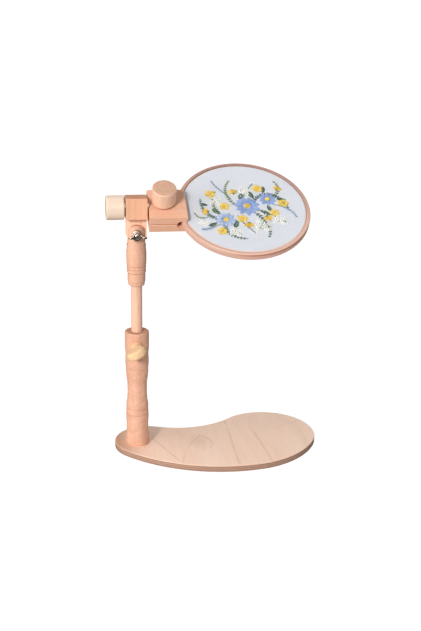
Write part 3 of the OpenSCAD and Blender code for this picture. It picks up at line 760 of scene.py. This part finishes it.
class Threads:
    """Stitches of one colour, as real threads that rise from the cloth and go back through it."""

    def __init__(self, name, tone):
        self.name, self.tone = name, tone
        self.points, self.faces, self.marks = [], [], []
        self.last = None

    def tube(self, line, radii, sides=6):
        """A closed tube along a line, with its length and turn kept for the twist of the thread."""
        line = np.array(line, float)
        way = np.gradient(line, axis=0)
        way /= np.linalg.norm(way, axis=1)[:, None] + 1e-9
        side = np.cross(way, (0, 0, 1.0))
        side /= np.linalg.norm(side, axis=1)[:, None] + 1e-9
        up = np.cross(side, way)
        run = np.concatenate([[0], np.cumsum(np.linalg.norm(np.diff(line, axis=0), axis=1))])
        self.faces += tube_faces(len(line), sides, len(self.points))
        around = turns(sides)
        for p, s, u, r, at in zip(line, side, up, radii, run):
            for k, t in enumerate(around):
                self.points.append(p + r * (math.cos(t) * s + 0.8 * math.sin(t) * u))
                self.marks.append((at, k / sides))

    def stitch(self, a, b, lift=0.3, width=STITCH_WIDTH):
        """One stitch on top from a to b, and the thread's way from the last one underneath."""
        w = width * random.uniform(0.92, 1.08) / 2
        a, b = np.array(a, float), np.array(b, float)
        line = [(*a, CLOTH_TOP - BELOW)]
        for t in (i / 6 for i in range(1, 6)):
            rise = lift * math.sin(math.pi * t) ** 0.6
            line.append((*(a + (b - a) * t), CLOTH_TOP + rise))
        line.append((*b, CLOTH_TOP - BELOW))
        self.tube(line, [0.55 * w] + [w] * 5 + [0.55 * w])
        if self.last is not None and 0.5 < np.linalg.norm(a - self.last) < 9:
            under = []
            for t in (0, 0.3, 0.7, 1):
                deep = BELOW + 0.25 * math.sin(math.pi * t)
                under.append((*(self.last + (a - self.last) * t), CLOTH_TOP - deep))
            self.tube(under, [0.5 * w, w, w, 0.5 * w], sides=5)
        self.last = b

    def knot(self, at, size=1.0, above=0.0):
        """A knot of thread wound twice, standing on the cloth or that far above it."""
        lean, start = random.uniform(-0.25, 0.25), random.uniform(0, 6.28)
        line = []
        for i in range(17):
            t = i / 16
            a = start + 4 * math.pi * t
            r = size * (0.62 - 0.22 * t)
            rise = above + 0.25 + size * 0.55 * t + lean * r * math.cos(a)
            line.append((at[0] + r * math.cos(a), at[1] + r * math.sin(a), CLOTH_TOP + rise))
        self.tube(line, [0.42 * size] * len(line))
        self.last = np.array(at, float)

    def make(self):
        """Makes one piece of all the stitches of this colour."""
        mesh = bpy.data.meshes.new(self.name)
        mesh.from_pydata([HOOP @ (Vector(p) * MM) for p in self.points], [], self.faces)
        uv = mesh.uv_layers.new(name="thread")
        marks = np.array(self.marks)
        corner = np.zeros(len(mesh.loops), np.int32)
        mesh.loops.foreach_get("vertex_index", corner)
        uv.data.foreach_set("uv", marks[corner].astype(np.float32).ravel())
        link(self.name, mesh, floss(self.name + "_floss", self.tone), "hoop", sharp=None)


def floss(name, tone):
    """Stranded cotton: a soft shine, and the strands' twist along each thread."""
    paint = Paint(name, uv=True)
    paint.shader.inputs["Sheen Weight"].default_value = 0.35
    paint.shader.inputs["Sheen Roughness"].default_value = 0.35
    along, round_it, _ = paint.parts()
    phase = paint.math("ADD", paint.product(along, 7.0), paint.product(round_it, 4 * math.pi))
    twist = paint.math("MULTIPLY_ADD", paint.math("SINE", phase), 0.5, 0.5)
    body = paint.add("ShaderNodeTexCoord").outputs["Object"]
    patch = paint.noise((260, 260, 260), detail=2, place=body, seed=len(name))
    deep, dull = (tuple(c * share for c in tone) for share in (0.68, 0.86))
    bright = tuple(min(1, c * 1.08) for c in tone)
    base = paint.ramp(patch, [(0.3, dull), (0.7, bright)])
    # Painted shade: the thread is darker along the twist's grooves between its strands
    paint.colour(paint.mix(paint.ramp(twist, [(0.0, 0.55), (0.45, 0.0)]), base, deep))
    paint.bump(twist, 0.00012, 0.7)
    return paint.material


def polar(centre, r, degrees):
    """The place at a distance and an angle from a centre."""
    a = math.radians(degrees)
    return np.array((centre[0] + r * math.cos(a), centre[1] + r * math.sin(a)))


def bezier(points, steps):
    """A smooth line through a start, two pulls and an end."""
    p = [np.array(q, float) for q in points]
    line = []
    for t in (i / steps for i in range(steps + 1)):
        u = 1 - t
        line.append(u ** 3 * p[0] + 3 * t * u ** 2 * p[1] + 3 * t * t * u * p[2] + t ** 3 * p[3])
    return line


def petal(thread, root, tip, half_width, count, lift):
    """Satin stitches side by side that fill a petal, all starting near its root."""
    root, tip = np.array(root, float), np.array(tip, float)
    way = tip - root
    side = np.array((-way[1], way[0])) / np.linalg.norm(way)
    for i in range(count):
        u = (2 * i / (count - 1) - 1) * 0.94
        inset = 0.04 * abs(u) + random.uniform(-0.02, 0.03)
        start = root + side * half_width * 0.34 * u + way * inset
        reach = math.sqrt(1 - u * u) * 0.42 + 0.58 - 0.12 * abs(u)
        end = root + way * reach + side * half_width * u * 0.98
        thread.stitch(start, end, lift)


def aster(outer, inner, light, heart, centre, r, petals, turn):
    """Many petals round a knotted heart, with fine lines between the petals and along them."""
    for k in range(petals):
        a = turn + 360 * k / petals + random.uniform(-2, 2)
        half = 0.7 * math.pi * r / petals
        tip = polar(centre, r * random.uniform(0.94, 1.04), a)
        petal(outer, polar(centre, r * 0.27, a), tip, half, max(5, int(half * 3.1)), 0.85)
    for k in range(petals):
        a = turn + 360 * (k + 0.5) / petals
        inner.stitch(polar(centre, r * 0.24, a), polar(centre, r * 0.52, a), 1.0, FINE_WIDTH)
        for off in (-3, 3):
            b = a + 180 / petals + off
            light.stitch(polar(centre, r * 0.42, b), polar(centre, r * 0.9, b), 1.1, FINE_WIDTH)
    for ring, many in ((0.0, 1), (0.10, 6), (0.19, 11)):
        for k in range(many):
            heart.knot(polar(centre, r * ring, 360 * k / many + 20 * ring), 0.9, 0.35)


def bloom(thread, edge, centre, r, turn):
    """A small flower with five round petals."""
    ways = [turn + 72 * k for k in range(5)]
    for a in ways:
        petal(thread, polar(centre, r * 0.16, a), polar(centre, r, a), r * 0.46, 8, 0.75)
    for a in ways:
        edge.stitch(polar(centre, r * 0.1, a), polar(centre, r * 0.46, a), 0.95, FINE_WIDTH)
    edge.knot(centre, 1.0, 0.3)


def bell(thread, shade, cup, centre, r, turn):
    """A flower seen from the side: three petals that open from a green cup."""
    for colour, off, share, lift in (
            (thread, -38, 0.92, 0.8), (thread, 38, 0.92, 0.8), (shade, 0, 1.0, 1.0)):
        petal(colour, centre, polar(centre, r * share, turn + off), r * 0.3, 7, lift)
    for off in (-50, 0, 50):
        cup.stitch(polar(centre, 0.6, turn + 180), polar(centre, r * 0.34, turn + off), 1.15)


def leaf(light, dark, root, degrees, length, half_width):
    """A leaf of slanting stitches on both sides of its rib."""
    root = np.array(root, float)
    way = polar((0, 0), 1, degrees)
    side = np.array((-way[1], way[0]))
    count = max(4, int(length / LEAF_WIDTH))
    for i in range(count):
        t = (i + 0.5) / count
        half = half_width * math.sin(math.pi * (0.12 + 0.88 * t) ** 0.8)
        rib = root + way * length * t
        for hand, thread in ((1, light), (-1, dark)):
            out = rib + side * hand * half + way * (half * 0.9)
            thread.stitch(rib - way * 0.4, out, 0.36, LEAF_WIDTH)


def stem(thread, line):
    """Stem stitch: short stitches that overlap along a line, like a thin rope."""
    for i in range(len(line) - 2):
        way = line[i + 2] - line[i]
        side = np.array((-way[1], way[0])) / (np.linalg.norm(way) + 1e-9)
        thread.stitch(line[i] - side * 0.22, line[i + 2] + side * 0.22, 0.34)


def leaflet(thread, root, degrees, length):
    """A small leaf of three stitches from one root, the middle one on top."""
    for off, share, lift in ((-13, 0.88, 0.4), (13, 0.88, 0.4), (0, 1, 0.6)):
        thread.stitch(root, polar(root, length * share, degrees + off), lift, LEAF_WIDTH)


def heading(line, i):
    """Direction in degrees of a line of points at its point i."""
    way = line[min(i + 1, len(line) - 1)] - line[max(i - 1, 0)]
    return math.degrees(math.atan2(way[1], way[0]))


def fern(stalk, leafing, points, size, gap=4.5, tips=None):
    """A stem with pairs of leaves that grow smaller towards its end, or of knots on thin stalks."""
    spacing = 1.5
    length = sum(np.linalg.norm(np.subtract(b, a)) for a, b in zip(points, points[1:]))
    line = bezier(points, max(8, int(length / spacing)))
    stem(stalk, line)
    step = max(2, round(gap / spacing))
    for i in range(step + 1, len(line), step):
        along, share = heading(line, i), 1 - 0.5 * i / len(line)
        for hand in (-1, 1):
            reach = size * share * random.uniform(0.88, 1.08)
            turn = along + hand * random.uniform(38, 50)
            if tips is None:
                leaflet(leafing, line[i], turn, reach)
            else:
                leafing.stitch(line[i], polar(line[i], reach, turn), 0.3, FINE_WIDTH)
                tips.knot(polar(line[i], reach + 0.7, turn), random.uniform(0.8, 1.1))
    if tips is None:
        leaflet(leafing, line[-1], heading(line, len(line) - 1), size * 0.55)
    else:
        tips.knot(line[-1])


def lavender(stalk, light, dark, points):
    """A spike of short slanting stitches on a stem."""
    line = bezier(points, 20)
    stem(stalk, line)
    for i in range(7, len(line), 2):
        along = heading(line, i)
        for hand, thread in ((-1, dark), (1, light)):
            root = polar(line[i], 0.4, along + hand * 90)
            tip = polar(root, 2.7 * (1.25 - 0.5 * i / len(line)), along + hand * 42)
            thread.stitch(root, tip, 0.55, 0.75)


def cluster(white, heart, stalk, centre, spread, many):
    """A cloud of tiny five-petalled blossoms and loose knots on thin stalks."""
    golden_angle = 137.5
    for k in range(many):
        way = golden_angle * k + random.uniform(-12, 12)
        at = polar(centre, spread * math.sqrt((k + 0.5) / many), way)
        stalk.stitch(polar(centre, spread * 0.5, 270), at, 0.15, FINE_WIDTH)
        if k % 2:
            white.knot(at, random.uniform(0.9, 1.2))
        else:
            first = random.uniform(0, 72)
            for p in range(5):
                a = first + 72 * p
                white.stitch(polar(at, 0.5, a), polar(at, 2.7, a), 0.75, 1.5)
            heart.knot(at, 0.8, 0.2)


def make_embroidery():
    """A garland along an S-shaped spine: asters, small blooms, bells, ferns and tiny blossoms."""
    random.seed(11)
    blue = Threads("stitches_blue", rgb(144, 170, 222))
    sky = Threads("stitches_sky", rgb(168, 190, 232))
    deep = Threads("stitches_deep_blue", rgb(88, 108, 178))
    yellow = Threads("stitches_yellow", rgb(244, 211, 90))
    gold = Threads("stitches_gold", rgb(234, 186, 70))
    white = Threads("stitches_white", rgb(252, 249, 243))
    green = Threads("stitches_green", rgb(84, 116, 90))
    dark = Threads("stitches_dark_green", rgb(52, 80, 70))
    olive = Threads("stitches_olive", rgb(142, 154, 86))

    # Ferns and stems first, so that the flowers lie over their roots
    for stalk, leaves, points, size in (
            (dark, green, ((-20, -18), (-40, -26), (-56, -10), (-54, 14)), 5.6),
            (dark, dark, ((8, 4), (26, 34), (50, 26), (56, -4)), 5.4),
            (green, olive, ((-8, 0), (-22, 16), (-24, 34), (-14, 48)), 4.6),
            (green, green, ((-26, -26), (-34, -42), (-22, -54), (-6, -56)), 5.0),
            (dark, green, ((10, -8), (22, -20), (30, -36), (24, -52)), 5.0),
            (olive, green, ((34, 14), (48, 22), (54, 34), (46, 46)), 4.6),
            (dark, olive, ((-30, -14), (-40, -4), (-42, 14), (-34, 28)), 4.6)):
        fern(stalk, leaves, points, size)
    for points in (
            ((-2, 10), (2, 24), (10, 34), (18, 44)), ((14, -6), (28, -10), (42, -20), (50, -30)),
            ((-10, -14), (-8, -28), (2, -38), (8, -48)),
            ((-46, -16), (-56, -22), (-62, -18), (-64, -8))):
        fern(green, olive, points, 4.2, 4.0, white)
    for points in (
            ((-14, 14), (-20, 26), (-34, 38), (-36, 50)), ((38, 4), (52, 0), (62, -8), (64, -20)),
            ((-34, -30), (-44, -36), (-52, -40), (-58, -38))):
        lavender(green, sky, blue, points)
    for root, turn, length in (
            ((-12, -24), 250, 14), ((-32, -12), 135, 13), ((14, 16), 110, 14), ((20, -6), 320, 14),
            ((-4, 14), 70, 12), ((44, 14), 350, 12), ((28, 26), 80, 12), ((-38, -28), 205, 12),
            ((-46, 4), 160, 10), ((30, 2), 290, 11)):
        leaf(green, dark, root, turn, length, length * 0.25)
    for centre, spread, many in (
            ((-34, 12), 8, 14), ((19, -33), 11, 22), ((42, -24), 8, 14), ((-16, -44), 8, 14),
            ((4, 30), 7, 11), ((-54, -28), 6, 9)):
        cluster(white, olive, green, centre, spread, many)
    for x, y, r, turn in (
            (-10, 24, 11, 100), (25, -17, 11, 300), (-46, -8, 10, 170), (46, 30, 10, 60),
            (2, -28, 10.5, 265)):
        bell(yellow, gold, green, (x, y), r, turn)
    for x, y, r, turn in (
            (-40, 25, 7.5, 50), (-5, -21, 7.5, 10), (51, 6, 8, 0), (22, 34, 7.5, 30),
            (-25, 2, 7.5, 15), (37, -11, 7, 40), (-33, -42, 7, 20)):
        bloom(yellow, gold, (x, y), r, turn)
    aster(blue, deep, sky, yellow, (4, 2), 17.5, 11, 8)
    aster(sky, blue, white, yellow, (-26, -22), 14, 11, 0)
    aster(blue, deep, sky, yellow, (32, 14), 12.5, 10, 15)
    for thread in (blue, sky, deep, yellow, gold, white, green, dark, olive):
        thread.make()


make_camera()
make_studio()
finish_wood()
finish_metal()
make_base()
make_cloth()
make_embroidery()
